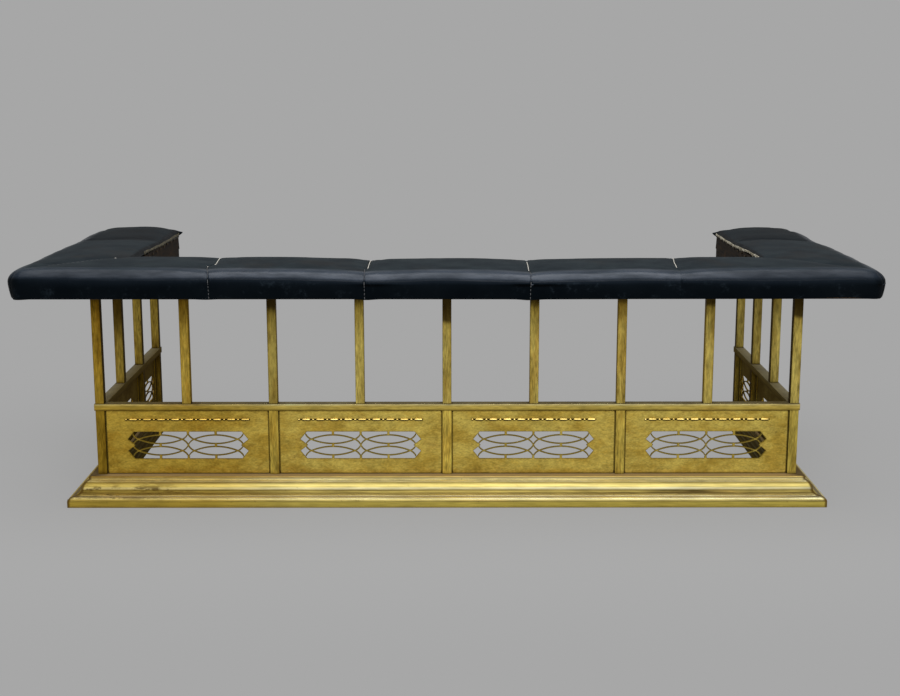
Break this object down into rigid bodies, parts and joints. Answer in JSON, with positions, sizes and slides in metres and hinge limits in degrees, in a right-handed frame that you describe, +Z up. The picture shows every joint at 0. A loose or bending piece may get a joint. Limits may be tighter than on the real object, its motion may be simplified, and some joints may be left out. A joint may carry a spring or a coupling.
{
  "type": "fire fender",
  "caption": "U-shaped hearth club fender: moulded brass plinth, pierced brass panels, square rail posts and a padded leather seat on top.",
  "frame": {"origin": "on the floor, at the bottom centre of the bounding box, which is the middle of the seat's outline", "axes": "+X to the right along the front, +Y from the front towards the hearth, +Z up; the front faces -Y"},
  "size_m": [1.774, 0.787, 0.516],
  "materials": {
    "brass_moulding": "rolled brass sheet, polished on its high edges and tarnished brown in its hollows",
    "brass_post": "drawn square brass tube with an aged, softly mottled polish",
    "brass_rail": "drawn brass bar with an aged polish",
    "brass_panel": "pierced brass plate, lacquered and mottled with age, dark olive at the back",
    "brass_bead": "cast bead and reel strip, polished on top",
    "core_timber": "sawn softwood, unfinished",
    "board_timber": "sawn softwood board, unfinished",
    "stained_timber": "dark stained hardwood with worn edges",
    "black_steel": "mild steel flat, black painted",
    "bright_steel": "plain mild steel",
    "tack_brass": "dull antique brass upholstery tacks",
    "seat_leather": "black hide, aged to blue grey, soft sheen, stretched over stuffing"
  },
  "bodies": {
    "root": {"plinth_front": "brass_moulding", "plinth_left": "brass_moulding", "plinth_right": "brass_moulding", "plinth_end_plates": "brass_moulding", "plinth_core_front": "core_timber", "plinth_core_left": "core_timber", "plinth_core_right": "core_timber", "lower_post_front_1": "brass_post", "lower_post_front_2": "brass_post", "lower_post_front_3": "brass_post", "lower_post_front_4": "brass_post", "lower_post_front_5": "brass_post", "lower_posts_left": "brass_post", "lower_posts_right": "brass_post", "panel_front_1": "brass_panel", "panel_front_2": "brass_panel", "panel_front_3": "brass_panel", "panel_front_4": "brass_panel", "panel_left_long": "brass_panel", "panel_left_short": "brass_panel", "panel_right_long": "brass_panel", "panel_right_short": "brass_panel", "bead_strips": "brass_bead", "middle_rail_front": "brass_rail", "middle_rail_left": "brass_rail", "middle_rail_right": "brass_rail", "post_front_1": "brass_post", "post_front_2": "brass_post", "post_front_3": "brass_post", "post_front_4": "brass_post", "post_front_5": "brass_post", "post_front_6": "brass_post", "post_front_7": "brass_post", "post_front_8": "brass_post", "post_front_9": "brass_post", "posts_left": "brass_post", "posts_right": "brass_post", "top_rail_front": "black_steel", "top_rail_left": "black_steel", "top_rail_right": "black_steel", "tie_rods": "bright_steel", "tie_rod_nuts": "bright_steel", "seat_screws": "bright_steel", "seat_board_front": "board_timber", "seat_board_left": "board_timber", "seat_board_right": "board_timber", "seat_lipping_front": "stained_timber", "seat_lipping_left": "stained_timber", "seat_lipping_right": "stained_timber", "seat_tacks": "tack_brass", "seat_pad_front_1": "seat_leather", "seat_pad_front_2": "seat_leather", "seat_pad_front_3": "seat_leather", "seat_pad_front_4": "seat_leather", "seat_pad_front_5": "seat_leather", "seat_pad_left_1": "seat_leather", "seat_pad_left_2": "seat_leather", "seat_pad_right_1": "seat_leather", "seat_pad_right_2": "seat_leather"}
  },
  "joints": []
}
